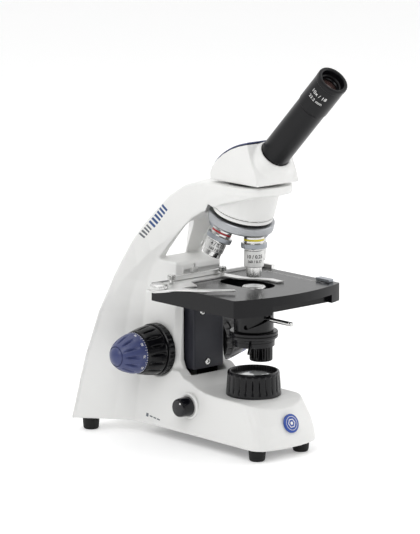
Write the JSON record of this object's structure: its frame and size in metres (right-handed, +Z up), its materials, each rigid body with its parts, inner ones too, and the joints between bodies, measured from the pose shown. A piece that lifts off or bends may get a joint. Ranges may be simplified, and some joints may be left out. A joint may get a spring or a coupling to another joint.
{
  "type": "student microscope",
  "caption": "Monocular laboratory microscope: wishbone stand with built-in lamp, mechanical stage, focusing condenser, turret of objectives and a turning tilted eyepiece head.",
  "frame": {"origin": "middle of the bounding box's bottom face, on the table the feet stand on", "axes": "+Z up, -Y towards the seated user, +X to the user's right"},
  "size_m": [0.1806, 0.2788, 0.3551],
  "materials": {
    "white_enamel": "satin powder coat",
    "black_enamel": "satin",
    "charcoal_enamel": "matt",
    "black_plastic": "semi-gloss moulded",
    "blue_plastic": "satin moulded",
    "rubber": "matt",
    "chrome": "bright",
    "satin_steel": "satin",
    "satin_aluminium": "satin",
    "brass": "machined",
    "glass": "polished"
  },
  "bodies": {
    "stand": {"stand": "white_enamel", "base_plate": "black_enamel", "foot_front_left": "rubber", "foot_front_right": "rubber", "foot_rear_left": "rubber", "foot_rear_right": "rubber", "badge": "blue_plastic", "dial_collar": "white_enamel", "dc_inlet": "black_plastic", "illuminator_ring": "black_plastic", "field_lens": "glass", "lamp_holder": "satin_steel", "focus_guide": "satin_steel", "turret_seat": "black_enamel", "head_ring": "black_enamel"},
    "stage": {"focus_block": "charcoal_enamel", "rack": "brass", "block_screw_upper": "chrome", "block_screw_lower": "chrome", "stage_plate": "black_enamel", "condenser_sleeve": "black_enamel", "vernier_block": "black_enamel", "stop_screw": "satin_steel", "knob_post": "satin_steel"},
    "coarse_drive": {"pinion_shaft": "satin_steel", "coarse_knob_left": "black_plastic", "coarse_knob_right": "black_plastic"},
    "fine_drive": {"fine_shaft": "satin_steel", "fine_knob_left": "blue_plastic", "fine_knob_right": "blue_plastic"},
    "tension_left": {"tension_ring_left": "black_plastic"},
    "tension_right": {"tension_ring_right": "black_plastic"},
    "brightness": {"brightness_knob": "black_plastic"},
    "cross_slide": {"x_rail": "satin_steel"},
    "slide_carriage": {"slide_bar": "satin_steel", "slide_holder": "satin_steel", "finger_cap": "chrome", "thumb_screw_left": "chrome", "thumb_screw_right": "chrome"},
    "clip_finger": {"slide_finger": "satin_steel"},
    "x_drive": {"x_knob": "black_plastic"},
    "y_drive": {"y_knob": "black_plastic"},
    "condenser_lift": {"condenser_lens": "glass"},
    "condenser": {"condenser_barrel": "black_enamel", "condenser_lever": "chrome", "iris_housing": "black_enamel", "tray_pivot": "satin_steel"},
    "iris": {"iris_lever": "black_enamel"},
    "filter": {"filter_tray": "black_enamel", "filter_glass": "glass"},
    "nosepiece": {"turret": "satin_aluminium", "objective_10x": "chrome", "objective_4x": "chrome", "objective_40x": "chrome", "objective_100x": "chrome"},
    "head": {"head_body": "white_enamel", "top_cover": "blue_plastic", "tube": "black_enamel"},
    "ocular": {"eyepiece": "black_enamel", "eye_lens": "glass"}
  },
  "joints": [
    {"name": "stage_focus", "type": "slide", "parent": "stand", "child": "stage", "axis": [0, 0, 1], "range_m": [-0.0145, 0]},
    {"name": "coarse_spin", "type": "hinge", "parent": "stand", "child": "coarse_drive", "pos_m": [0.00305, 0.06387, 0.082], "axis": [1, 0, 0], "range_deg": [0, 146]},
    {"name": "fine_spin", "type": "hinge", "parent": "stand", "child": "fine_drive", "pos_m": [0.00305, 0.06387, 0.082], "axis": [1, 0, 0], "continuous": true},
    {"name": "tension_left_turn", "type": "hinge", "parent": "stand", "child": "tension_left", "pos_m": [-0.02995, 0.06387, 0.082], "axis": [1, 0, 0], "range_deg": [-60, 60]},
    {"name": "tension_right_turn", "type": "hinge", "parent": "stand", "child": "tension_right", "pos_m": [0.03605, 0.06387, 0.082], "axis": [1, 0, 0], "range_deg": [-60, 60]},
    {"name": "brightness_dial", "type": "hinge", "parent": "stand", "child": "brightness", "pos_m": [-0.03695, 0.01587, 0.0375], "axis": [1, 0, 0], "range_deg": [-150, 150]},
    {"name": "y_travel", "type": "slide", "parent": "stage", "child": "cross_slide", "axis": [0, 1, 0], "range_m": [-0.025, 0]},
    {"name": "x_travel", "type": "slide", "parent": "cross_slide", "child": "slide_carriage", "axis": [1, 0, 0], "range_m": [-0.004, 0.036]},
    {"name": "finger_swing", "type": "hinge", "parent": "slide_carriage", "child": "clip_finger", "pos_m": [-0.08195, 0.00187, 0.1536], "axis": [0, 0, 1], "range_deg": [-30, 0], "stiffness_Nm_per_rad": 0.02, "springref_deg": 20.05},
    {"name": "x_knob_spin", "type": "hinge", "parent": "stage", "child": "x_drive", "pos_m": [0.04805, 0.00837, 0.076], "axis": [0, 0, 1], "range_deg": [-50, 415]},
    {"name": "y_knob_spin", "type": "hinge", "parent": "stage", "child": "y_drive", "pos_m": [0.04805, 0.00837, 0.09], "axis": [0, 0, 1], "range_deg": [-288, 0]},
    {"name": "condenser_raise", "type": "slide", "parent": "stage", "child": "condenser_lift", "axis": [0, 0, 1], "range_m": [-0.007, 0]},
    {"name": "condenser_turn", "type": "hinge", "parent": "condenser_lift", "child": "condenser", "pos_m": [0.00305, -0.03013, 0.12], "axis": [0, 0, 1], "range_deg": [-63.5, 0]},
    {"name": "iris_turn", "type": "hinge", "parent": "condenser", "child": "iris", "pos_m": [0.00305, -0.03013, 0.102], "axis": [0, 0, 1], "range_deg": [-40, 40]},
    {"name": "tray_swing", "type": "hinge", "parent": "condenser", "child": "filter", "pos_m": [0.01945, -0.01613, 0.098], "axis": [0, 0, 1], "range_deg": [0, 90]},
    {"name": "nosepiece_turn", "type": "hinge", "parent": "stand", "child": "nosepiece", "pos_m": [0.00305, -0.03013, 0.26], "axis": [0, -0.309, 0.9511], "continuous": true},
    {"name": "head_turn", "type": "hinge", "parent": "stand", "child": "head", "pos_m": [0.00305, -0.03013, 0.245], "axis": [0, 0, 1], "continuous": true},
    {"name": "eyepiece_pull", "type": "slide", "parent": "head", "child": "ocular", "axis": [0, -0.7071, 0.7071], "range_m": [0, 0.03]}
  ],
  "couplings": [
    {"joint": "coarse_spin", "follows": "stage_focus", "rad_per_m": -174.53},
    {"joint": "x_knob_spin", "follows": "x_travel", "rad_per_m": 200},
    {"joint": "y_knob_spin", "follows": "y_travel", "rad_per_m": 200},
    {"joint": "condenser_turn", "follows": "condenser_raise", "rad_per_m": 157.08}
  ]
}
